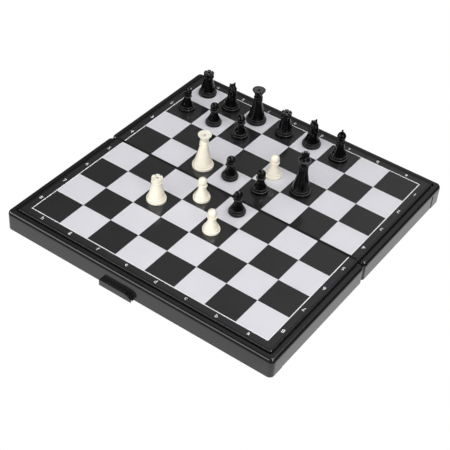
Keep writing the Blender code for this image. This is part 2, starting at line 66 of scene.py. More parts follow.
# Places that come from the CAD
JOINTS = {joint["name"]: joint for joint in frame["joints"]}
SEAM_Y = JOINTS["seam_fold"]["pos_m"][1]
RIM_Z = JOINTS["seam_fold"]["pos_m"][2]
LATCH_TRAVEL = JOINTS["latch_slide"]["range_m"][1]
NEAR_LOW, NEAR_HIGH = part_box("near_shell")
SHEET_LOW, SHEET_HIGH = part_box("near_board_sheet")
PLATE_LOW, PLATE_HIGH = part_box("near_steel_plate")
LATCH_LOW, LATCH_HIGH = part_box("latch_slider")
HALF_X = NEAR_HIGH.x
HALF_Y = SEAM_Y - NEAR_LOW.y
BOARD_Z = NEAR_HIGH.z

# Board
SQUARE = 0.035
FIELD_GAP = 0.0035  # between the two printed fields, across the seam
FIELD_X = 4 * SQUARE
FIELD_START = FIELD_GAP / 2
FIELD_END = FIELD_START + 4 * SQUARE
PRINT_START = 0.0016  # from the seam's middle to the printed film
BORDER_LINE = 0.001
DARK_INK, PALE_INK, WHITE_INK = range(3)
FILES = "hgfedcba"  # from -X to +X
GLYPH_SIZE = 0.0062
GLYPH_OUT = 0.0049  # from the field to the middle of a character
GLYPH_HEIGHT = 0.00006
GLYPH_WEIGHT = 0.00004  # how much each stroke is thickened
GLYPH_MERGE = 0.000005
PLATE_CORNER = 0.001

# Case
BEYOND = 0.01  # how far a cutting box runs past what it cuts
WALL = 0.0022
SEAM_HALF_GAP = 0.00025
CLEARANCE = 0.0003
CORNER_RADIUS = 0.005
CORNER_STEPS = 9
FOOT = ((0.0003, 0.0), (0.0001, 0.0001), (0.0, 0.0003))  # inset and rise of the foot's edge
TOP_RADIUS = 0.003  # how far the soft rim reaches in
TOP_DROP = 0.0045  # how far it falls
TOP_STEPS = 10
RIM_TOP_Z = BOARD_Z - 0.0015
CEILING_Z = 0.0226
CEILING_ROUNDING = 0.0008
GROOVE_OUT = 0.0125  # from the field to the groove's outer side
GROOVE_Z = 0.0229
GROOVE_CORNER = 0.003
GROOVE_SHADE_FROM = 0.0099  # the painted shade in the groove: from here outwards, and up to the next height
GROOVE_SHADE_TOP = 0.0246
GROOVE_SHADE_SLACK = (0.00005, 0.0001)  # outwards and downwards
SHOULDER = ((0.0106, 0.0229), (0.0106, 0.0256), (0.0105, 0.0259), (0.0103, 0.0261),
            (0.0100, 0.02615), (0.0093, 0.0262))  # out from the field, and height
SEAM_EDGE = (0.0, 0.0, 0.0001, 0.0002, 0.0005, 0.0011)  # back from the seam at the same heights
PLATEAU_CORNER = 0.002
RECESS_OUT = 0.0085
RECESS_DEPTH = 0.0016
SEAM_STRIP = 0.0013  # what is left of the top between the recess and the seam
PANEL_DEPTH = 0.0005
PANEL_END = 0.0175
PANEL_ROUNDING = PANEL_DEPTH * 0.7
LIP_THICKNESS = 0.0015
LIP_TOP = 0.008
LIP_ROUNDING = 0.0003
LIPS = {-1: ((0.07, 0.13), (0.1, 0.145)), 1: ((0.025, 0.06), (0.03, 0.08))}

# Hinge
HINGE_X = 0.1
KNUCKLES = 5
KNUCKLE_LENGTH = 0.009
KNUCKLE_RADIUS = 0.0023
KNUCKLE_ROOM = 0.0004
KNUCKLE_CHAMFER = 0.0002
BORE_RADIUS = 0.0013
BORE_SIDES = 24
PIN_CHAMFER = 0.00025
PIN_SIDES = 32

# Latch: a bar outside the wall on a stem through it, over a T rail on the far half
BAR_DEPTH = 0.0047
BAR_ROUNDING = 0.0004
RAMP_LENGTH = 0.009
RAMP_DROP = 0.0052
RAMP_STEPS = 14
STEM_X = -0.0175
STEM_Z = 0.0068
STEM_HALF_X = 0.0016
STEM_HALF_Z = 0.001
STEM_INTO_BAR = 0.002
STEM_PAST_WALL = 0.0008
STEM_HEAD_HALF_X = 0.00325
STEM_HEAD_HALF_Z = 0.0025
STEM_HEAD_DEPTH = 0.0014
SLOT_HALF_X = 0.0019
SLOT_HALF_Z = 0.0013
SLOT_OVERRUN = 0.001
RAIL_OUT = 0.00265  # from the wall to the rail's middle
RAIL_X = (0.0033, 0.017)
RAIL_REACH = 0.0023  # past the rim
RAIL_HALF = 0.0011
RAIL_HEAD_HEIGHT = 0.0009
RAIL_NECK_HALF = 0.0004
RAIL_NECK_INSET = 0.0002
RAIL_NECK_FROM = 0.00045  # above the head's underside
RAIL_NECK_INTO_ARM = 0.0015
ARM_INTO_WALL = 0.0008
ARM_HEIGHT = 0.003
SMALL_ROUNDING = 0.0003
RAIL_HEAD_ROUNDING = 0.0002
CHANNEL_LENGTH = 0.018
CHANNEL_OVERRUN = 0.001
CHANNEL_NECK_HALF = 0.0007
CHANNEL_NECK_TOP = 0.0012
CHANNEL_HEAD_HALF = 0.0015
CHANNEL_HEAD_Z = (0.001, 0.0027)

# Men, in metres unless they are outlines
MM = 1000  # millimetres in a metre
BASE_ROOM = 0.3  # round the magnet, in millimetres
POCKET_CHAMFER = 0.2
POCKET_DEPTH = 2.6
MAGNET_CHAMFER = 0.25
CROWN_HOLE_RADIUS = 0.0016
CROWN_HOLE_DEPTH = 0.005
ROOK_TOP = 0.0282
QUEEN_TOP = 0.0403
MERLONS = 6
MERLON_NOTCH = ((0.0031, -0.00085, 0.0267), (0.0075, 0.00085, 0.030))
SCALLOPS = 9
SCALLOP_RADIUS = 0.00085
SCALLOP_LENGTH = 0.004
SCALLOP_PLACE = (0.0069, 0, 0.0415)
SCALLOP_LEAN = 62
CROSS_TURN = 32
KNIGHT_TURN = -30
MELT_VOXEL = 0.00036

# Surroundings
TABLE_GLOW = 1.05  # close round the case
TABLE_FAR_GLOW = 0.06
TABLE_FADE = (0.015, 0.05)  # how far out the glow starts and stops falling
TABLE_SHIFT = 0.125  # the glow reaches further on the latch's side
TABLE_SIZE = 4.0
TABLE_DROP = 0.0004
BACKDROP = 0.5
SKY = ((0.5, 0.02), (0.62, 0.05), (0.72, 0.15), (0.79, BACKDROP), (0.87, BACKDROP), (0.91, 0.04),
       (1.0, 0.03))  # brightness by height: 0.5 is the horizon and 1 straight up
SKY_BEHIND = (-0.15, 0.3)  # the backdrop fades in towards +Y
SKY_RIGHT = (-0.6, -0.25)  # and towards +X
SKY_DIM = 0.2
LIGHT_DISTANCE = 2.0
CAMERA_AZIMUTH, CAMERA_ELEVATION, CAMERA_ROLL = 32.25, 41.26, 4.99
CAMERA_TARGET = (0.0211, -0.0402, BOARD_Z)
CAMERA_AWAY = 1.1353
CAMERA_LENS = 92.13
CAMERA_SENSOR = 36.0

SAME_PLACE = 1e-6
COLLECTION = bpy.context.scene.collection


# ---- mesh tools

def link(name, mesh, materials=()):
    obj = bpy.data.objects.new(name, mesh)
    for material in materials:
        mesh.materials.append(material)
    COLLECTION.objects.link(obj)
    return obj


def mesh_from(bm, name):
    bmesh.ops.recalc_face_normals(bm, faces=bm.faces)
    mesh = bpy.data.meshes.new(name)
    bm.to_mesh(mesh)
    bm.free()
    return mesh


def add_box(bm, low, high):
    low = Vector(low)
    high = Vector(high)
    place = Matrix.Translation((low + high) / 2) @ Matrix.Diagonal((*(high - low), 1.0))
    return bmesh.ops.create_cube(bm, size=1.0, matrix=place)["verts"]


def round_edges(bm, edges, radius, segments):
    bmesh.ops.bevel(bm, geom=edges, offset=radius, segments=segments, profile=0.5,
                    affect="EDGES")


def edges_at(bm, axis, level):
    """The edges that lie in one plane across an axis."""
    return [e for e in bm.edges
            if all(abs(getattr(v.co, axis) - level) < SAME_PLACE for v in e.verts)]


def box_mesh(boxes, bevel=0.0, segments=2):
    """Separate boxes, with all their edges rounded where a bevel is asked for."""
    bm = bmesh.new()
    for low, high in boxes:
        add_box(bm, low, high)
    if bevel:
        round_edges(bm, bm.edges[:], bevel, segments)
    return mesh_from(bm, "boxes")


def tray_mesh(low, high, corner, corner_steps, top=0.0, top_steps=1):
    """A box with rounded upright edges, and a rounded top rim where asked."""
    bm = bmesh.new()
    add_box(bm, low, high)
    upright = [e for e in bm.edges
               if (e.verts[0].co - e.verts[1].co).to_2d().length < SAME_PLACE]
    round_edges(bm, upright, corner, corner_steps)
    if top:
        round_edges(bm, edges_at(bm, "z", high[2]), top, top_steps)
    return mesh_from(bm, "tray")


def rods_mesh(spans, radius, y, z, sides=40, chamfer=0.0):
    """Round rods along X, one for each span of x."""
    bm = bmesh.new()
    for start, end in spans:
        turn = Matrix.Translation(((start + end) / 2, y, z))
        turn = turn @ Matrix.Rotation(math.radians(90), 4, "Y")
        bmesh.ops.create_cone(bm, cap_ends=True, segments=sides, radius1=radius, radius2=radius,
                              depth=end - start, matrix=turn)
    if chamfer:
        rims = [e for e in bm.edges
                if abs(e.verts[0].co.x - e.verts[1].co.x) < SAME_PLACE]
        round_edges(bm, rims, chamfer, 2)
    return mesh_from(bm, "rods")


def loft(rings):
    """A closed body through rings of points, all with the same count, capped at both ends."""
    bm = bmesh.new()
    loops = [[bm.verts.new(point) for point in ring] for ring in rings]
    count = len(loops[0])
    for lower, upper in zip(loops, loops[1:]):
        for index in range(count):
            after = (index + 1) % count
            bm.faces.new((lower[index], lower[after], upper[after], upper[index]))
    bm.faces.new(loops[0])
    bm.faces.new(loops[-1])
    return bm


def rounded_ring(low, high, z, radius, steps=5):
    """Points round a rounded rectangle at one height."""
    points = []
    corners = ((high[0], high[1], 0), (low[0], high[1], 90), (low[0], low[1], 180),
               (high[0], low[1], 270))
    for x, y, start in corners:
        middle_x = x - radius if x == high[0] else x + radius
        middle_y = y - radius if y == high[1] else y + radius
        for step in range(steps + 1):
            angle = math.radians(start + 90 * step / steps)
            points.append((middle_x + radius * math.cos(angle),
                           middle_y + radius * math.sin(angle), z))
    return points


def combine(target, operation, mesh):
    """Cut a mesh out of the target, or join it on, and keep the result as the target's own mesh."""
    tool = link("tool", mesh)
    modifier = target.modifiers.new("boolean", "BOOLEAN")
    modifier.operation = operation
    modifier.solver = "EXACT"
    modifier.object = tool
    settle(target)
    bpy.data.objects.remove(tool, do_unlink=True)


def settle(target):
    """Make the modifiers' result the object's own mesh."""
    graph = bpy.context.evaluated_depsgraph_get()
    mesh = bpy.data.meshes.new_from_object(target.evaluated_get(graph))
    target.modifiers.clear()
    target.data = mesh


def smooth(obj, angle=32, weighted=True):
    """Smooth shading between the sharp edges, with the big flat faces kept flat if weighted."""
    obj.data.shade_smooth()
    obj.data.set_sharp_from_angle(angle=math.radians(angle))
    if weighted:
        modifier = obj.modifiers.new("normals", "WEIGHTED_NORMAL")
        modifier.keep_sharp = True
        modifier.weight = 100
    return obj


# ---- materials

class Nodes:
    """A short way to write a node tree."""

    def __init__(self, name):
        self.material = bpy.data.materials.new(name)
        self.material.use_nodes = True
        self.tree = self.material.node_tree
        self.shader = self.tree.nodes["Principled BSDF"]
        self.coords = self.add("ShaderNodeTexCoord").outputs["Object"]

    def add(self, kind, inputs=None, **settings):
        node = self.tree.nodes.new(kind)
        for key, value in settings.items():
            setattr(node, key, value)
        for key, value in (inputs or {}).items():
            self.feed(node.inputs[key], value)
        return node

    def feed(self, socket, value):
        """Link the socket to another one, or set it to a constant."""
        if isinstance(value, bpy.types.NodeSocket):
            self.tree.links.new(value, socket)
        else:
            socket.default_value = value

    def stretch(self, scale):
        inputs = {"Vector": self.coords, "Scale": scale}
        return self.add("ShaderNodeMapping", inputs).outputs["Vector"]

    def noise(self, scale, detail=3.0, roughness=0.5, vector=None):
        inputs = {"Vector": vector or self.coords, "Scale": scale, "Detail": detail,
                  "Roughness": roughness}
        return self.add("ShaderNodeTexNoise", inputs).outputs["Fac"]

    def range(self, value, low, high, start=0.3, end=0.7):
        inputs = {"Value": value, "From Min": start, "From Max": end,
                  "To Min": low, "To Max": high}
        return self.add("ShaderNodeMapRange", inputs).outputs["Result"]

    def mix(self, factor, first, second):
        node = self.add("ShaderNodeMix", data_type="RGBA")
        for key, value in ((0, factor), (6, first), (7, second)):
            self.feed(node.inputs[key], value)
        return node.outputs[2]

    def bump(self, heights):
        """Bumps from several (height, distance in metres, strength) one over another."""
        normal = None
        for height, distance, strength in heights:
            inputs = {"Height": height, "Distance": distance, "Strength": strength}
            if normal:
                inputs["Normal"] = normal
            normal = self.add("ShaderNodeBump", inputs).outputs["Normal"]
        self.tree.links.new(normal, self.shader.inputs["Normal"])

    def set(self, **values):
        for key, value in values.items():
            self.feed(self.shader.inputs[key.replace("_", " ")], value)


def rgb(red, green, blue):
    return red, green, blue, 1.0


def worn_edges(nodes):
    """How far a point is on an outer edge, where handling has scuffed the surface."""
    point = nodes.add("ShaderNodeNewGeometry").outputs["Pointiness"]
    return nodes.range(point, 0.0, 1.0, 0.53, 0.6)


def case_material(name="case_black_plastic"):
    """Moulded black plastic with a fine spark-eroded texture and a dull gloss."""
    n = Nodes(name)
    cloud = n.noise(35.0, 4.0)
    grain = n.noise(2600.0, 2.0)
    scuff = n.noise(420.0, 6.0, 0.7)
    body = n.mix(n.range(cloud, 0.0, 1.0),
                 rgb(0.008, 0.008, 0.0082), rgb(0.011, 0.011, 0.0113))
    worn = n.mix(worn_edges(n), body, rgb(0.018, 0.018, 0.0185))
    n.set(Base_Color=worn, Roughness=n.range(scuff, 0.14, 0.2), IOR=1.5)
    n.bump([(grain, 0.000008, 0.15)])
    return n.material


def ink_material(name, colour, second, roughness):
    """Ink on the satin film of the board: fine print grain under a slightly uneven lacquer."""
    n = Nodes(name)
    dots = n.noise(1500.0, 2.0)
    cloud = n.noise(28.0, 3.0)
    base = n.mix(n.range(cloud, 0.0, 1.0), colour, second)
    speck = n.mix(n.range(dots, 0.0, 0.018), base, rgb(0.5, 0.5, 0.52))
    n.set(Base_Color=speck, IOR=1.5,
          Roughness=n.range(n.noise(700.0, 2.0), roughness, roughness + 0.02))
    n.bump([(n.noise(2400.0, 1.0), 0.000003, 0.06)])
    return n.material


def men_material(name, colour, second, lit_top_colour, roughness, subsurface=0.0):
    """Glossy moulded plastic with faint flow marks, duller on the faces that look straight up, and
    lighter in colour there: painted light on the tops.
    """
    n = Nodes(name)
    flow = n.noise(90.0, 3.0, vector=n.stretch((1.0, 1.0, 0.35)))
    rub = n.noise(700.0, 5.0, 0.65)
    body = n.mix(n.range(flow, 0.0, 1.0), colour, second)
    normal = n.add("ShaderNodeNewGeometry").outputs["Normal"]
    facing = n.add("ShaderNodeSeparateXYZ", {"Vector": normal})
    flat = n.range(facing.outputs["Z"], 0.0, 1.0, 0.965, 0.99)
    gloss = n.range(rub, roughness, roughness + 0.06)
    dull = n.range(rub, 0.4, 0.5)
    blend = n.add("ShaderNodeMix", {"Factor": flat, "A": gloss, "B": dull}).outputs["Result"]
    # Faces that look straight up take a lighter base colour: painted light on the tops.
    n.set(Base_Color=n.mix(flat, body, lit_top_colour), Roughness=blend, IOR=1.5,
          Specular_IOR_Level=0.35 if subsurface else 0.18)
    if subsurface:
        n.set(Subsurface_Weight=subsurface, Subsurface_Radius=(1.0, 0.9, 0.75),
              Subsurface_Scale=0.0015)
    n.bump([(rub, 0.00001, 0.1)])
    return n.material


def steel_material(name, scale, tint):
    """Rolled or drawn steel, with its lines along the short axis of the scale."""
    n = Nodes(name)
    lines = n.noise(900.0, 4.0, 0.6, vector=n.stretch(scale))
    cloud = n.noise(60.0, 3.0)
    dark = tuple(0.75 * channel for channel in tint[:3]) + (1.0,)
    n.set(Base_Color=n.mix(n.range(cloud, 0.0, 1.0), tint, dark),
          Metallic=1.0, Roughness=n.range(lines, 0.24, 0.42))
    n.bump([(lines, 0.00003, 0.3)])
    return n.material


def magnet_material():
    """Sintered ferrite: dark grey, grainy and dull."""
    n = Nodes("ferrite_magnet")
    grain = n.noise(1800.0, 4.0, 0.7)
    chips = n.add("ShaderNodeTexVoronoi", {"Vector": n.coords, "Scale": 900.0}).outputs["Distance"]
    n.set(Base_Color=n.mix(n.range(grain, 0.0, 1.0),
                           rgb(0.05, 0.05, 0.054), rgb(0.1, 0.1, 0.105)),
          Roughness=n.range(chips, 0.5, 0.72, 0.0, 1.0), Metallic=0.3)
    n.bump([(grain, 0.00005, 0.4)])
    return n.material


def groove_shade_material():
    """Painted shade: a near-black, mottled finish for the bottom of the groove round the board,
    where no light gets in.
    """
    n = Nodes("groove_black_plastic")
    shade_mottle = n.noise(800.0, 5.0, 0.7)
    # Near-black base colour: painted shade for the hollow, not a real dark material or dust.
    n.set(Base_Color=n.mix(n.range(shade_mottle, 0.0, 1.0),
                           rgb(0.002, 0.002, 0.002), rgb(0.004, 0.004, 0.004)),
          Roughness=n.range(shade_mottle, 0.7, 0.85), Specular_IOR_Level=0.15)
    n.bump([(shade_mottle, 0.00003, 0.2)])
    return n.material


MATERIALS = {
    "case": case_material(),
    # The groove's material is near-black painted shade.
    "groove": groove_shade_material(),
    "latch": case_material("latch_black_plastic"),
    "dark": ink_material("dark_ink", rgb(0.0145, 0.0145, 0.0155),
                         rgb(0.0175, 0.0175, 0.0185), 0.13),
    "light": ink_material("pale_grey_ink", rgb(0.735, 0.73, 0.775), rgb(0.76, 0.755, 0.8), 0.13),
    "line": ink_material("white_ink", rgb(0.85, 0.85, 0.87), rgb(0.88, 0.88, 0.9), 0.3),
    # The third colour of each men's plastic is painted light on the faces that look straight up.
    "black": men_material("black_men_plastic", rgb(0.0016, 0.0016, 0.0018),
                          rgb(0.0026, 0.0026, 0.0028), rgb(0.068, 0.068, 0.07), 0.07),
    "white": men_material("cream_men_plastic", rgb(0.84, 0.78, 0.65), rgb(0.86, 0.81, 0.69),
                          rgb(0.9, 0.86, 0.75), 0.24, 0.25),
    "steel": steel_material("rolled_steel", (1.0, 0.02, 1.0), rgb(0.6, 0.61, 0.63)),
    "pin": steel_material("drawn_wire", (0.02, 1.0, 1.0), rgb(0.62, 0.62, 0.64)),
    "magnet": magnet_material(),
}


def give(obj, body, slot, *nodes):
    """The piece rides on a CAD body and may stand for CAD nodes, which are hidden. The slot is not
    used.
    """
    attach(obj, body)
    if nodes:
        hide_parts(*nodes)
    return obj


# ---- the case

def y_span(side, near, far):
    """World Y of a span of distances from the seam, on the near (-1) or far (+1) half."""
    return tuple(sorted((SEAM_Y + side * near, SEAM_Y + side * far)))


def case_box(side, x, y, z):
    """The two corners of a box, with y as distances from the seam."""
    low_y, high_y = y_span(side, *y)
    return (x[0], low_y, z[0]), (x[1], high_y, z[1])


def handed(hand, near, far):
    """A span of distances from the middle, on the left (-1) or right (+1)."""
    return tuple(sorted((hand * near, hand * far)))


def knuckle_spans(own):
    """Spans along X of one half's knuckles: the near half owns the odd ones, counted from 1."""
    pitch = KNUCKLE_LENGTH + CLEARANCE
    spans = []
    for middle in (-HINGE_X, HINGE_X):
        start = middle - (KNUCKLES * pitch - CLEARANCE) / 2
        spans += [(start + index * pitch, start + index * pitch + KNUCKLE_LENGTH)
                  for index in range(KNUCKLES) if index % 2 == own]
    return spans


def case_block(low, high):
    """The outside of one half: round corners, a softened foot and a wide soft rim."""
    profile = [(inset, low[2] + rise) for inset, rise in FOOT]
    for step in range(TOP_STEPS + 1):
        angle = math.radians(90 * step / TOP_STEPS)
        profile.append((TOP_RADIUS * (1 - math.cos(angle)),
                        high[2] - TOP_DROP * (1 - math.sin(angle))))
    rings = []
    for inset, z in profile:
        inner_low = (low[0] + inset, low[1] + inset)
        inner_high = (high[0] - inset, high[1] - inset)
        rings.append(rounded_ring(inner_low, inner_high, z, CORNER_RADIUS - inset, CORNER_STEPS))
    return mesh_from(loft(rings), "block")


def plateau_mesh(side):
    """The raised block under the board: a soft shoulder on three sides, less at the seam."""
    rings = []
    for (out, z), back in zip(SHOULDER, SEAM_EDGE):
        low_y, high_y = y_span(side, SEAM_HALF_GAP + back, FIELD_END + out)
        rings.append(rounded_ring((-FIELD_X - out, low_y), (FIELD_X + out, high_y), z,
                                  PLATEAU_CORNER))
    return mesh_from(loft(rings), "plateau")


def lip_boxes(side):
    """The lips that the open board rests on: their roots on the walls, their tongues below."""
    lip_x, lip_y = LIPS[side]
    inner_y = HALF_Y - WALL
    inner_x = HALF_X - WALL
    root_z = (RIM_Z + CLEARANCE, LIP_TOP)
    tongue_z = (0, LIP_TOP - CLEARANCE)
    roots, tongues = [], []
    for hand in (-1, 1):
        x = handed(hand, *lip_x)
        roots.append(case_box(side, x, (inner_y - LIP_THICKNESS, inner_y + CLEARANCE), root_z))
        tongues.append(case_box(side, x, (inner_y - CLEARANCE - LIP_THICKNESS,
                                          inner_y - CLEARANCE), tongue_z))
        x = handed(hand, inner_x - LIP_THICKNESS, inner_x + CLEARANCE)
        roots.append(case_box(side, x, lip_y, root_z))
        x = handed(hand, inner_x - CLEARANCE - LIP_THICKNESS, inner_x - CLEARANCE)
        tongues.append(case_box(side, x, lip_y, tongue_z))
    return roots, tongues


def carve_top(shell, side):
    """The groove round the board, the plateau inside it and the recess for the plate and sheet."""
    low, high = case_box(side, (-FIELD_X - GROOVE_OUT, FIELD_X + GROOVE_OUT),
                         (-BEYOND, FIELD_END + GROOVE_OUT), (GROOVE_Z, BOARD_Z + BEYOND))
    combine(shell, "DIFFERENCE", tray_mesh(low, high, GROOVE_CORNER, 5))
    combine(shell, "UNION", plateau_mesh(side))
    low, high = case_box(side, (-HALF_X + WALL, HALF_X - WALL),
                         (SEAM_HALF_GAP + WALL, HALF_Y - WALL), (-BEYOND, CEILING_Z))
    combine(shell, "DIFFERENCE",
            tray_mesh(low, high, CORNER_RADIUS - WALL, 6, CEILING_ROUNDING, 3))
    recess = case_box(side, (-FIELD_X - RECESS_OUT, FIELD_X + RECESS_OUT),
                      (SEAM_HALF_GAP + SEAM_STRIP, FIELD_END + RECESS_OUT),
                      (BOARD_Z - RECESS_DEPTH, BOARD_Z + BEYOND))
    combine(shell, "DIFFERENCE", box_mesh([recess]))


def carve_panels(shell, side):
    """The shallow panel in each side wall."""
    panels = []
    for hand in (-1, 1):
        x = handed(hand, HALF_X - PANEL_DEPTH, HALF_X + BEYOND)
        panels.append(case_box(side, x, (-BEYOND, HALF_Y - PANEL_END),
                               (-BEYOND, RIM_TOP_Z - TOP_DROP - CLEARANCE)))
    combine(shell, "DIFFERENCE", box_mesh(panels, PANEL_ROUNDING, 3))


def add_knuckles(shell, side):
    """This half's knuckles, room for the other half's, and the bore for the pins."""
    own = 0 if side < 0 else 1
    notches = [(start - CLEARANCE, end + CLEARANCE) for start, end in knuckle_spans(1 - own)]
    combine(shell, "DIFFERENCE",
            rods_mesh(notches, KNUCKLE_RADIUS + KNUCKLE_ROOM, SEAM_Y, RIM_Z))
    combine(shell, "UNION", rods_mesh(knuckle_spans(own), KNUCKLE_RADIUS, SEAM_Y, RIM_Z,
                                      chamfer=KNUCKLE_CHAMFER))
    reach = KNUCKLES * (KNUCKLE_LENGTH + CLEARANCE) / 2 + CLEARANCE
    bores = [(middle - reach, middle + reach) for middle in (-HINGE_X, HINGE_X)]
    combine(shell, "DIFFERENCE", rods_mesh(bores, BORE_RADIUS, SEAM_Y, RIM_Z, BORE_SIDES))


def paint_shade_in_hollows(mesh):
    """Paint shade on the groove round the board and on the seam's edge: their faces take the
    near-black painted-shade material.
    """
    mesh.materials.clear()
    mesh.materials.append(MATERIALS["case"])
    mesh.materials.append(MATERIALS["groove"])
    out_slack, down_slack = GROOVE_SHADE_SLACK
    for face in mesh.polygons:
        middle = face.center
        outside = max(abs(middle.x) - FIELD_X, abs(middle.y - SEAM_Y) - FIELD_END)
        in_groove = (GROOVE_SHADE_FROM < outside < GROOVE_OUT + out_slack
                     and GROOVE_Z - down_slack < middle.z < GROOVE_SHADE_TOP)
        in_seam = (abs(middle.y - SEAM_Y) < PRINT_START and middle.z > CEILING_Z
                   and outside < RECESS_OUT)
        # Faces in the groove and at the seam get the painted-shade material.
        face.material_index = int(in_groove or in_seam)


def make_shell(side, name, body):
    """One half of the case, as the CAD shapes it, with a groove round the board."""
    low, high = case_box(side, (-HALF_X, HALF_X), (SEAM_HALF_GAP, HALF_Y), (RIM_Z, RIM_TOP_Z))
    shell = link(name, case_block(low, high))
    carve_top(shell, side)
    carve_panels(shell, side)
    add_knuckles(shell, side)
    roots, tongues = lip_boxes(side)
    combine(shell, "UNION", box_mesh(roots))
    combine(shell, "UNION", box_mesh(tongues, LIP_ROUNDING))
    if side < 0:
        cut_latch_slot(shell)
    else:
        add_latch_rail(shell)
    # Painted shade in the groove round the board and at the seam.
    paint_shade_in_hollows(shell.data)
    smooth(shell)
    return give(shell, body, "case", body.replace("half", "shell"))


def cut_latch_slot(shell):
    """The slot in the near wall that the latch's stem slides along."""
    low = (STEM_X - SLOT_HALF_X, NEAR_LOW.y - SLOT_OVERRUN, STEM_Z - SLOT_HALF_Z)
    high = (STEM_X + LATCH_TRAVEL + SLOT_HALF_X, NEAR_LOW.y + WALL + SLOT_OVERRUN,
            STEM_Z + SLOT_HALF_Z)
    combine(shell, "DIFFERENCE", box_mesh([(low, high)]))


def add_latch_rail(shell):
    """The T rail on the far wall: an arm from the wall, a neck past the rim, a wider head."""
    wall_y = SEAM_Y + HALF_Y
    middle = wall_y + RAIL_OUT
    arm_z = RIM_Z + CLEARANCE
    head_z = RIM_Z - RAIL_REACH
    start, end = RAIL_X
    arm = ((start, wall_y - ARM_INTO_WALL, arm_z),
           (end, middle + RAIL_HALF, arm_z + ARM_HEIGHT))
    neck = ((start + RAIL_NECK_INSET, middle - RAIL_NECK_HALF, head_z + RAIL_NECK_FROM),
            (end - RAIL_NECK_INSET, middle + RAIL_NECK_HALF, arm_z + RAIL_NECK_INTO_ARM))
    head = ((start, middle - RAIL_HALF, head_z),
            (end, middle + RAIL_HALF, head_z + RAIL_HEAD_HEIGHT))
    combine(shell, "UNION", box_mesh([arm], SMALL_ROUNDING))
    combine(shell, "UNION", box_mesh([neck]))
    combine(shell, "UNION", box_mesh([head], RAIL_HEAD_ROUNDING))


# ---- board, plates, pins

def grid_lines(side_x, end):
    """Where the printed pattern changes, along X and as distances from the seam."""
    along_x = [-side_x, -FIELD_X - BORDER_LINE] + [(file - 4) * SQUARE for file in range(9)]
    along_x += [FIELD_X + BORDER_LINE, side_x]
    out = [PRINT_START] + [FIELD_START + rank * SQUARE for rank in range(5)]
    return along_x, out + [FIELD_END + BORDER_LINE, end]


def print_kind(side, x, out):
    """Which ink covers a point of the sheet."""
    if abs(x) < FIELD_X and FIELD_START < out < FIELD_END:
        file_index = int((x + FIELD_X) / SQUARE)
        rank_index = int((out - FIELD_START) / SQUARE)
        rank_index = 4 + rank_index if side > 0 else 3 - rank_index
        return (DARK_INK, PALE_INK)[(file_index + rank_index) % 2]
    if abs(x) < FIELD_X + BORDER_LINE and FIELD_START < out < FIELD_END + BORDER_LINE:
        return WHITE_INK
    return DARK_INK


def make_sheet(side, name, body):
    """The printed sheet: each square, border line and margin is a face of its own."""
    along_x, out = grid_lines(SHEET_HIGH.x, SEAM_Y - SHEET_LOW.y)
    bm = bmesh.new()
    layers = []
    for z in (SHEET_LOW.z, SHEET_HIGH.z):
        layers.append([[bm.verts.new((x, SEAM_Y + side * y, z)) for x in along_x]
                       for y in out])
    bottom, top = layers
    rows, columns = len(out), len(along_x)
    for row in range(rows - 1):
        for column in range(columns - 1):
            corners = ((row, column), (row, column + 1),
                       (row + 1, column + 1), (row + 1, column))
            face = bm.faces.new([top[r][c] for r, c in corners])
            x = (along_x[column] + along_x[column + 1]) / 2
            y = (out[row] + out[row + 1]) / 2
            face.material_index = print_kind(side, x, y)
            bm.faces.new([bottom[r][c] for r, c in reversed(corners)])
    edge = [(0, c) for c in range(columns)] + [(r, columns - 1) for r in range(1, rows)]
    edge += [(rows - 1, c) for c in reversed(range(columns - 1))]
    edge += [(r, 0) for r in reversed(range(1, rows - 1))]
    for (r, c), (r2, c2) in zip(edge, edge[1:] + edge[:1]):
        bm.faces.new((bottom[r][c], bottom[r2][c2], top[r2][c2], top[r][c]))
    inks = [MATERIALS["dark"], MATERIALS["light"], MATERIALS["line"]]
    sheet = link(name, mesh_from(bm, name), inks)
    return give(sheet, body, "dark", body.replace("half", "board_sheet"))


def glyph_mesh(text):
    """One thin printed character, centred, lying flat."""
    curve = bpy.data.curves.new("glyph", "FONT")
    curve.body = text
    curve.size = GLYPH_SIZE
    curve.extrude = GLYPH_HEIGHT / 2
    curve.offset = GLYPH_WEIGHT
    curve.resolution_u = 6
    holder = link("glyph", curve)
    graph = bpy.context.evaluated_depsgraph_get()
    mesh = bpy.data.meshes.new_from_object(holder.evaluated_get(graph))
    bpy.data.objects.remove(holder, do_unlink=True)
    low = Vector(map(min, *[v.co for v in mesh.vertices]))
    high = Vector(map(max, *[v.co for v in mesh.vertices]))
    mesh.transform(Matrix.Translation(-(low + high) / 2))
    return mesh


def make_coordinates(side, name, body):
    """Letters along the outer margin, numbers up both sides, each to be read from its own side."""
    bm = bmesh.new()
    z = SHEET_HIGH.z + GLYPH_HEIGHT / 2
    places = []
    for index, letter in enumerate(FILES):
        y = SEAM_Y + side * (FIELD_END + GLYPH_OUT)
        places.append((letter, (index - 3.5) * SQUARE, y, side > 0))
    for index in range(4):
        rank = str(4 - index) if side > 0 else str(5 + index)
        y = SEAM_Y + side * (FIELD_START + (index + 0.5) * SQUARE)
        places.append((rank, -FIELD_X - GLYPH_OUT, y, False))
        places.append((rank, FIELD_X + GLYPH_OUT, y, True))
    for text, x, y, turned in places:
        mesh = glyph_mesh(text)
        turn = Matrix.Rotation(math.pi if turned else 0.0, 4, "Z")
        mesh.transform(Matrix.Translation((x, y, z)) @ turn)
        bm.from_mesh(mesh)
        bpy.data.meshes.remove(mesh)
    bmesh.ops.remove_doubles(bm, verts=bm.verts, dist=GLYPH_MERGE)
    glyphs = link(name, mesh_from(bm, name), [MATERIALS["line"]])
    return give(glyphs, body, "dark")


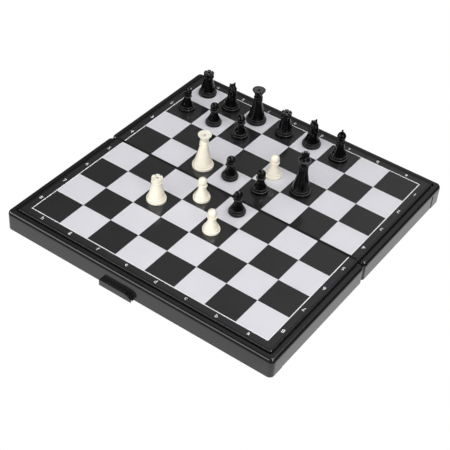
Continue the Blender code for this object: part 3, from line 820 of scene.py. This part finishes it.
def make_plate(side, name, body):
    """The steel plate under the sheet, with rounded corners."""
    low, high = case_box(side, (PLATE_LOW.x, PLATE_HIGH.x),
                         (PRINT_START, SEAM_Y - PLATE_LOW.y), (PLATE_LOW.z, PLATE_HIGH.z))
    plate = link(name, tray_mesh(low, high, PLATE_CORNER, 4), [MATERIALS["steel"]])
    smooth(plate)
    return give(plate, body, "steel", body.replace("half", "steel_plate"))


def make_pins():
    for hand in ("left", "right"):
        low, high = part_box("hinge_pin_" + hand)
        radius = (high.z - low.z) / 2
        mesh = rods_mesh([(low.x, high.x)], radius, (low.y + high.y) / 2,
                         (low.z + high.z) / 2, PIN_SIDES, PIN_CHAMFER)
        pin = link("pin_" + hand, mesh, [MATERIALS["pin"]])
        smooth(pin)
        give(pin, "near_half", "pin", "hinge_pin_" + hand)


def latch_bar():
    """The bar outside the wall, with a curved leading end."""
    left, right = LATCH_LOW.x, LATCH_HIGH.x
    top, bottom = LATCH_HIGH.z, LATCH_LOW.z
    front = LATCH_LOW.y
    outline = [(left, bottom), (right, bottom)]
    for step in range(RAMP_STEPS + 1):
        angle = math.radians(90) * step / RAMP_STEPS
        outline.append((right - RAMP_LENGTH + RAMP_LENGTH * math.cos(angle),
                        top - RAMP_DROP + RAMP_DROP * math.sin(angle)))
    outline.append((left, top))
    bm = loft([[(x, y, z) for x, z in outline] for y in (front, front + BAR_DEPTH)])
    rim = edges_at(bm, "y", front)
    ends = [e for e in edges_at(bm, "x", left) if e not in rim]
    round_edges(bm, rim + ends, BAR_ROUNDING, 3)
    return mesh_from(bm, "latch")


def make_latch():
    """The sliding latch: the bar, a headed stem through the wall and a channel for the rail."""
    latch = link("latch_slide_bar", latch_bar())
    back = LATCH_LOW.y + BAR_DEPTH
    wall_inside = NEAR_LOW.y + WALL
    head_y = wall_inside + CLEARANCE
    stem = ((STEM_X - STEM_HALF_X, back - STEM_INTO_BAR, STEM_Z - STEM_HALF_Z),
            (STEM_X + STEM_HALF_X, wall_inside + STEM_PAST_WALL, STEM_Z + STEM_HALF_Z))
    head = ((STEM_X - STEM_HEAD_HALF_X, head_y, STEM_Z - STEM_HEAD_HALF_Z),
            (STEM_X + STEM_HEAD_HALF_X, head_y + STEM_HEAD_DEPTH, STEM_Z + STEM_HEAD_HALF_Z))
    combine(latch, "UNION", box_mesh([stem]))
    combine(latch, "UNION", box_mesh([head], SMALL_ROUNDING))
    rail_y = NEAR_LOW.y - RAIL_OUT
    start, end = LATCH_HIGH.x - CHANNEL_LENGTH, LATCH_HIGH.x + CHANNEL_OVERRUN
    bottom = LATCH_LOW.z
    neck = ((start, rail_y - CHANNEL_NECK_HALF, bottom - CHANNEL_OVERRUN),
            (end, rail_y + CHANNEL_NECK_HALF, bottom + CHANNEL_NECK_TOP))
    chamber = ((start, rail_y - CHANNEL_HEAD_HALF, bottom + CHANNEL_HEAD_Z[0]),
               (end, rail_y + CHANNEL_HEAD_HALF, bottom + CHANNEL_HEAD_Z[1]))
    combine(latch, "DIFFERENCE", box_mesh([neck]))
    combine(latch, "DIFFERENCE", box_mesh([chamber]))
    latch.data.materials.append(MATERIALS["latch"])
    smooth(latch)
    give(latch, "latch", "latch", "latch_slider")


# ---- the men

def arc(radius, middle, size, start, end, steps):
    """Points round a circle in a turned outline, with angles in degrees from outwards."""
    points = []
    for step in range(steps + 1):
        angle = math.radians(start + (end - start) * step / steps)
        points.append((radius + size * math.cos(angle), middle + size * math.sin(angle)))
    return points


def flow(points, steps=5):
    """A smooth curve through the points, by the Catmull-Rom formula."""
    padded = [points[0]] + list(points) + [points[-1]]
    curve = []
    for a, b, c, d in zip(padded, padded[1:], padded[2:], padded[3:]):
        for step in range(steps):
            t = step / steps
            curve.append(tuple(0.5 * (2 * q + (r - p) * t + (2 * p - 5 * q + 4 * r - s) * t * t
                                      + (3 * q - p - 3 * r + s) * t ** 3)
                               for p, q, r, s in zip(a, b, c, d)))
    return curve + [points[-1]]


def base_outline(base):
    """The two rings of every base, from the body down to the table, in millimetres."""
    return ([(base - 2.1, 5.45), (base - 1.6, 5.45)] + arc(base - 1.6, 5.05, 0.4, 90, 0, 4)
            + [(base - 1.2, 3.02), (base - 0.4, 3.0)] + arc(base - 0.4, 2.6, 0.4, 90, 0, 4)
            + arc(base - 0.4, 0.4, 0.4, 0, -90, 3))


def collar(inner, radius, middle, size):
    """A round ring that stands out from a neck."""
    return ([(inner, middle + size)] + arc(radius - size, middle, size, 80, -80, 6)
            + [(inner, middle - size)])


# The turned outline of each kind above its base, top to bottom, as (radius, height) in millimetres
BODIES = {
    "pawn": (arc(0, 22.05, 4.7, 90, -46, 16) + collar(3.3, 5.1, 17.15, 0.45)
             + flow([(3.3, 16.5), (3.9, 13.6), (4.85, 10.6), (6.1, 7.9), (6.95, 5.5)])),
    "rook": ([(0, 28.2), (2.0, 28.2), (4.9, 28.25)] + arc(5.3, 27.8, 0.5, 90, 0, 4) + [(5.7, 25.6)]
             + arc(5.3, 25.3, 0.4, 0, -90, 3) + [(5.0, 24.7)] + collar(5.0, 6.1, 23.3, 0.75)
             + flow([(4.95, 22.2), (5.0, 21.0), (5.35, 19.0), (6.1, 15.8), (6.95, 12.4),
                     (7.75, 9.2), (8.25, 5.5)])),
    "bishop": (arc(0, 36.3, 1.15, 90, -40, 7) + [(0.75, 35.3)]
               + flow([(0.85, 35.0), (2.1, 33.9), (3.7, 32.3), (4.65, 30.4), (4.8, 28.8),
                       (4.3, 26.9), (3.3, 25.3)], 4)
               + collar(3.2, 4.6, 23.4, 0.6) + collar(3.6, 4.6, 21.3, 0.55)
               + flow([(3.9, 20.5), (4.5, 17.6), (5.4, 14.4), (6.45, 11.0), (7.4, 8.2),
                       (8.25, 5.5)])),
    "queen": ([(0, 40.3), (1.4, 40.3), (6.4, 40.6)] + arc(6.8, 40.5, 0.4, 100, -20, 5)
              + flow([(7.1, 40.0), (5.8, 38.0), (4.7, 36.0), (4.2, 34.2), (4.1, 33.0)], 4)
              + collar(4.0, 5.0, 31.2, 0.7) + [(4.3, 30.2)] + collar(4.3, 5.1, 28.0, 0.7)
              + flow([(4.7, 26.9), (5.05, 24.2), (5.75, 20.4), (6.75, 16.0), (7.8, 11.8),
                      (8.6, 8.6), (9.3, 5.5)])),
    "king": (flow([(0, 44.6), (1.7, 44.3), (3.4, 43.2), (4.8, 41.7)], 4)
             + [(5.1, 41.5), (6.6, 41.5)] + arc(7.05, 41.15, 0.4, 100, -20, 5)
             + flow([(7.35, 40.6), (6.1, 38.4), (4.8, 36.6), (4.2, 35.3), (4.1, 34.5)], 4)
             + collar(4.0, 5.0, 32.6, 0.7) + collar(4.0, 5.0, 29.7, 0.7)
             + flow([(4.9, 28.5), (5.25, 25.4), (5.95, 21.4), (6.95, 16.8), (7.95, 12.2),
                     (8.7, 8.8), (9.3, 5.5)])),
    "knight": flow([(0, 18.4), (2.6, 17.8), (4.3, 16.2), (5.3, 13.6), (6.2, 11.0), (7.3, 8.2),
                    (8.25, 5.5)]),
}
# Radius of the base and of the magnet
BASES = {"pawn": (9.0, 6.0), "rook": (10.3, 6.0), "knight": (10.3, 6.0), "bishop": (10.3, 6.0),
         "queen": (11.4, 7.0), "king": (11.4, 7.0)}


def turned_mesh(points, sides=72):
    """A closed turned body from an outline that starts and ends on the axis."""
    bm = bmesh.new()
    verts = [bm.verts.new((radius / MM, 0, height / MM)) for radius, height in points]
    edges = [bm.edges.new(pair) for pair in zip(verts, verts[1:])]
    bmesh.ops.spin(bm, geom=verts + edges, cent=(0, 0, 0), axis=(0, 0, 1), angle=math.tau,
                   steps=sides, use_merge=True)
    bmesh.ops.remove_doubles(bm, verts=bm.verts, dist=0.000002)
    return mesh_from(bm, "turned")


def man_outline(kind):
    """A man from the top down to the pocket for its magnet."""
    base, magnet = BASES[kind]
    pocket = magnet + BASE_ROOM
    return BODIES[kind] + base_outline(base) + [
        (pocket + POCKET_CHAMFER, 0), (pocket, POCKET_CHAMFER), (pocket, POCKET_DEPTH),
        (0, POCKET_DEPTH)]


def cut_hole(man, top):
    """The hole that a core pin leaves down the middle of a crown."""
    bm = bmesh.new()
    bmesh.ops.create_cone(bm, cap_ends=True, segments=32, radius1=CROWN_HOLE_RADIUS,
                          radius2=CROWN_HOLE_RADIUS, depth=2 * CROWN_HOLE_DEPTH,
                          matrix=Matrix.Translation((0, 0, top)))
    combine(man, "DIFFERENCE", mesh_from(bm, "hole"))


def finish_rook(man):
    """Merlons with rounded notches between them, and the hole."""
    for index in range(MERLONS):
        mesh = box_mesh([MERLON_NOTCH], SMALL_ROUNDING, 3)
        mesh.transform(Matrix.Rotation(math.radians(60 * index + 30), 4, "Z"))
        combine(man, "DIFFERENCE", mesh)
    cut_hole(man, ROOK_TOP)


def finish_queen(man):
    """Shallow scallops round the crown, and the hole."""
    for index in range(SCALLOPS):
        bm = bmesh.new()
        turn = Matrix.Rotation(math.tau * index / SCALLOPS, 4, "Z")
        lean = Matrix.Rotation(math.radians(SCALLOP_LEAN), 4, "Y")
        place = turn @ Matrix.Translation(SCALLOP_PLACE) @ lean
        bmesh.ops.create_cone(bm, cap_ends=True, segments=20, radius1=SCALLOP_RADIUS,
                              radius2=SCALLOP_RADIUS, depth=SCALLOP_LENGTH, matrix=place)
        combine(man, "DIFFERENCE", mesh_from(bm, "scallop"))
    cut_hole(man, QUEEN_TOP)


def finish_king(man):
    """The cross: an upright and two arms that widen outwards, with softened edges."""
    narrow, wide, arm, thick = 0.0014, 0.0022, 0.0041, 0.0016
    low, middle, top = 0.0430, 0.0478, 0.0514
    outline = [(-wide, low), (wide, low), (narrow, middle - narrow), (arm, middle - wide),
               (arm, middle + wide), (narrow, middle + narrow), (wide, top), (-wide, top),
               (-narrow, middle + narrow), (-arm, middle + wide), (-arm, middle - wide),
               (-narrow, middle - narrow)]
    bm = loft([[(x, y, z) for x, z in outline] for y in (-thick, thick)])
    bmesh.ops.recalc_face_normals(bm, faces=bm.faces)
    round_edges(bm, bm.edges[:], SMALL_ROUNDING, 2)
    mesh = mesh_from(bm, "cross")
    mesh.transform(Matrix.Rotation(math.radians(CROSS_TURN), 4, "Z"))
    combine(man, "UNION", mesh)


def blob(bm, place, size):
    """A round form at a place, with its three half sizes, in millimetres."""
    matrix = Matrix.Translation(Vector(place) / MM)
    matrix = matrix @ Matrix.Diagonal((*(Vector(size) / MM), 1.0))
    bmesh.ops.create_uvsphere(bm, u_segments=20, v_segments=12, radius=1.0, matrix=matrix)


def blob_chain(bm, first, last, steps, bow=(0, 0, 0)):
    """Round forms from one place and size to another, bowed in between."""
    for step in range(steps + 1):
        t = step / steps
        place = Vector(first[0]).lerp(Vector(last[0]), t) + Vector(bow) * math.sin(math.pi * t)
        blob(bm, place, Vector(first[1]).lerp(Vector(last[1]), t))


def finish_knight(man):
    """The horse's head and neck, from round forms that are melted together and smoothed."""
    bm = bmesh.new()
    # neck, head, cheek and chest
    blob_chain(bm, ((0.0, 0, 13.0), (5.0, 5.0, 2.6)), ((-1.0, 0, 26.0), (3.4, 3.7, 3.2)), 12,
               (-1.0, 0, 0))
    blob_chain(bm, ((-0.4, 0, 28.2), (3.2, 3.7, 3.0)), ((6.0, 0, 21.4), (2.1, 2.7, 2.1)), 12,
               (0.8, 0, 1.0))
    blob(bm, (1.6, 0, 24.6), (3.1, 3.8, 2.9))
    blob_chain(bm, ((2.9, 0, 14.0), (2.2, 4.3, 2.6)), ((0.8, 0, 21.0), (2.6, 3.9, 2.6)), 6,
               (0.5, 0, 0))
    # ears, eyes, nostrils and locks of the mane
    for hand in (-1, 1):
        blob_chain(bm, ((-0.7, hand * 2.4, 30.4), (1.3, 1.25, 1.5)),
                   ((-0.5, hand * 2.8, 32.5), (0.6, 0.6, 0.6)), 6)
        blob(bm, (2.7, hand * 3.2, 26.8), (1.1, 0.8, 0.9))
        blob(bm, (6.8, hand * 1.8, 21.6), (0.8, 0.8, 0.7))
        for step in range(4):
            blob(bm, (-2.6 + 0.5 * step, hand * 3.3, 18.5 + 3.0 * step), (1.2, 0.8, 1.1))
    # crest down the back of the neck, and forelock
    for step in range(9):
        t = step / 8
        angle = math.radians(100 + 85 * t)
        place = (0.4 + 5.6 * math.cos(angle) - 1.2 * t, 0,
                 24.6 + 6.2 * math.sin(angle) - 10.5 * t)
        blob(bm, place, (1.35, 1.5, 1.0))
    blob(bm, (1.6, 0, 30.2), (1.4, 1.2, 0.9))
    head = link("horse", mesh_from(bm, "horse"))
    remesh = head.modifiers.new("melt", "REMESH")
    remesh.mode = "VOXEL"
    remesh.voxel_size = MELT_VOXEL
    relax = head.modifiers.new("relax", "SMOOTH")
    relax.factor = 0.5
    relax.iterations = 5
    settle(head)
    mesh = head.data.copy()
    bpy.data.objects.remove(head, do_unlink=True)
    mesh.transform(Matrix.Rotation(math.radians(KNIGHT_TURN), 4, "Z"))
    combine(man, "UNION", mesh)


FINISHES = {"rook": finish_rook, "queen": finish_queen, "king": finish_king,
            "knight": finish_knight}


def man_mesh(kind, colour):
    model = link(kind + "_" + colour, turned_mesh(man_outline(kind)))
    if kind in FINISHES:
        FINISHES[kind](model)
    model.data.materials.clear()
    model.data.materials.append(MATERIALS[colour])
    smooth(model, 38, False)
    mesh = model.data
    bpy.data.objects.remove(model, do_unlink=True)
    return mesh


def magnet_mesh(low, high):
    """A disc with chamfered edges, standing on the ground."""
    radius = (high.x - low.x) / 2 * MM
    thickness = (high.z - low.z) * MM
    chamfer = MAGNET_CHAMFER
    mesh = turned_mesh([(0, thickness), (radius - chamfer, thickness),
                        (radius, thickness - chamfer), (radius, chamfer),
                        (radius - chamfer, 0), (0, 0)], 48)
    mesh.materials.append(MATERIALS["magnet"])
    return mesh


def make_men():
    """Every man and its magnet. Men of one kind and colour share a mesh."""
    meshes = {}
    for body in sorted(frame["bodies"]):
        colour, _, rest = body.partition("_")
        kind = rest.split("_")[0]
        if kind not in BASES:
            continue
        low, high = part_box(body + "_magnet")
        x, y = (low.x + high.x) / 2, (low.y + high.y) / 2
        if (kind, colour) not in meshes:
            meshes[kind, colour] = man_mesh(kind, colour)
        man = link(body + "_turned", meshes[kind, colour])
        man.location = (x, y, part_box(body)[0].z)
        give(man, body, colour, body)
        if (kind, "magnet") not in meshes:
            meshes[kind, "magnet"] = magnet_mesh(low, high)
        disc = link(body + "_magnet_disc", meshes[kind, "magnet"])
        disc.location = (x, y, low.z)
        smooth(disc, 30, False)
        give(disc, body, "magnet", body + "_magnet")


# ---- floor, light and camera

def make_floor():
    """A table lit close round the case, for its walls to reflect. The camera doesn't see it."""
    bm = bmesh.new()
    bmesh.ops.create_grid(bm, x_segments=1, y_segments=1, size=TABLE_SIZE)
    material = bpy.data.materials.new("lit_table")
    material.use_nodes = True
    tree = material.node_tree
    tree.nodes.clear()
    add = tree.nodes.new
    coords = add("ShaderNodeTexCoord")
    side, past, out, distance = [add("ShaderNodeVectorMath") for _ in range(4)]
    side.operation = "ABSOLUTE"
    past.operation = "SUBTRACT"
    past.inputs[1].default_value = (HALF_X, HALF_Y + TABLE_SHIFT, 0.0)
    out.operation = "MAXIMUM"
    distance.operation = "LENGTH"
    fade = add("ShaderNodeMapRange")
    fade.inputs["From Min"].default_value = TABLE_FADE[0]
    fade.inputs["From Max"].default_value = TABLE_FADE[1]
    fade.inputs["To Min"].default_value = TABLE_GLOW
    fade.inputs["To Max"].default_value = TABLE_FAR_GLOW
    glow = add("ShaderNodeEmission")
    output = add("ShaderNodeOutputMaterial")
    for first, second in (
            (coords.outputs["Object"], side.inputs[0]), (side.outputs[0], past.inputs[0]),
            (past.outputs[0], out.inputs[0]), (out.outputs[0], distance.inputs[0]),
            (distance.outputs["Value"], fade.inputs["Value"]),
            (fade.outputs["Result"], glow.inputs["Strength"]), (glow.outputs[0], output.inputs[0])):
        tree.links.new(first, second)
    floor = link("floor", mesh_from(bm, "floor"), [material])
    floor.location = (0.0, TABLE_SHIFT, -TABLE_DROP)
    floor.visible_camera = False
    floor.visible_shadow = False


def direction(azimuth, elevation):
    """From the object outwards: azimuth 0 is -Y and 90 is +X."""
    a, e = math.radians(azimuth), math.radians(elevation)
    return Vector((math.sin(a) * math.cos(e), -math.cos(a) * math.cos(e), math.sin(e)))


def add_softbox(name, azimuth, elevation, width, height, radiance, mirrored=True,
                lights_up=True):
    """A rectangular softbox that looks at the board's middle, its width and height in degrees.

    It may be one that is only mirrored, or one that only lights things up."""
    light = bpy.data.lights.new(name, "AREA")
    light.shape = "RECTANGLE"
    light.size = 2 * LIGHT_DISTANCE * math.tan(math.radians(width / 2))
    light.size_y = 2 * LIGHT_DISTANCE * math.tan(math.radians(height / 2))
    light.energy = radiance * light.size * light.size_y * math.pi
    obj = bpy.data.objects.new(name, light)
    obj.visible_glossy = mirrored
    obj.visible_diffuse = lights_up
    outwards = direction(azimuth, elevation)
    obj.location = outwards * LIGHT_DISTANCE
    obj.rotation_mode = "QUATERNION"
    obj.rotation_quaternion = outwards.to_track_quat("Z", "Y")
    COLLECTION.objects.link(obj)


def make_world():
    """A dark studio with a lit backdrop behind the set, white where the camera looks at it."""
    world = bpy.data.worlds.new("studio")
    bpy.context.scene.world = world
    world.use_nodes = True
    tree = world.node_tree
    tree.nodes.clear()
    add = tree.nodes.new
    coords = add("ShaderNodeTexCoord")
    split = add("ShaderNodeSeparateXYZ")
    ramp = add("ShaderNodeValToRGB")
    for index, (place, level) in enumerate(SKY):
        if index < 2:
            stop = ramp.color_ramp.elements[index]
            stop.position = place
        else:
            stop = ramp.color_ramp.elements.new(place)
        stop.color = (level, level, level, 1.0)
    half = add("ShaderNodeMath")
    half.operation = "MULTIPLY_ADD"
    half.inputs[1].default_value = 0.5
    half.inputs[2].default_value = 0.5
    behind, rightwards = add("ShaderNodeMapRange"), add("ShaderNodeMapRange")
    for node, (start, end) in ((behind, SKY_BEHIND), (rightwards, SKY_RIGHT)):
        node.inputs["From Min"].default_value = start
        node.inputs["From Max"].default_value = end
        node.inputs["To Min"].default_value = SKY_DIM
    both = add("ShaderNodeMath")
    both.operation = "MULTIPLY"
    path = add("ShaderNodeLightPath")
    studio = add("ShaderNodeBackground")
    white = add("ShaderNodeBackground")
    white.inputs["Color"].default_value = (1.0, 1.0, 1.0, 1.0)
    white.inputs["Strength"].default_value = 1.0
    choose = add("ShaderNodeMixShader")
    output = add("ShaderNodeOutputWorld")
    for first, second in (
            (coords.outputs["Generated"], split.inputs[0]),
            (split.outputs["Z"], half.inputs[0]), (half.outputs[0], ramp.inputs[0]),
            (ramp.outputs[0], studio.inputs["Color"]),
            (split.outputs["Y"], behind.inputs["Value"]),
            (split.outputs["X"], rightwards.inputs["Value"]),
            (behind.outputs["Result"], both.inputs[0]),
            (rightwards.outputs["Result"], both.inputs[1]),
            (both.outputs[0], studio.inputs["Strength"]),
            (path.outputs["Is Camera Ray"], choose.inputs[0]),
            (studio.outputs[0], choose.inputs[1]), (white.outputs[0], choose.inputs[2]),
            (choose.outputs[0], output.inputs[0])):
        tree.links.new(first, second)


def make_lights():
    add_softbox("overhead_softbox", 135, 74, 28, 28, 5.6)
    add_softbox("overhead_shine", 135, 74, 34, 22, 24.0, lights_up=False)
    add_softbox("left_softbox", -30, 24, 40, 28, 3.7)
    add_softbox("left_shine", -60, 24, 4, 30, 40.0, lights_up=False)
    add_softbox("right_strip", 64, 34, 5, 26, 13.0)
    add_softbox("right_shine", 66, 34, 3, 26, 40.0, lights_up=False)
    add_softbox("front_fill", 15, 20, 60, 30, 4.3, mirrored=False)


def make_camera():
    data = bpy.data.cameras.new("camera")
    data.lens = CAMERA_LENS
    data.sensor_width = CAMERA_SENSOR
    camera = bpy.data.objects.new("camera", data)
    back = direction(CAMERA_AZIMUTH, CAMERA_ELEVATION)
    camera.location = Vector(CAMERA_TARGET) + back * CAMERA_AWAY
    camera.rotation_mode = "QUATERNION"
    level = (-back).to_track_quat("-Z", "Y")
    roll = Matrix.Rotation(math.radians(CAMERA_ROLL), 3, "Z").to_quaternion()
    camera.rotation_quaternion = level @ roll
    COLLECTION.objects.link(camera)
    bpy.context.scene.camera = camera


def main():
    make_camera()
    for make, what in ((make_shell, "case"), (make_sheet, "print"),
                       (make_coordinates, "coordinates"), (make_plate, "plate")):
        for side, half in ((-1, "near"), (1, "far")):
            make(side, half + "_" + what, half + "_half")
    make_pins()
    make_latch()
    make_men()
    make_floor()
    make_world()
    make_lights()
    bpy.context.scene.view_settings.view_transform = "Standard"


main()
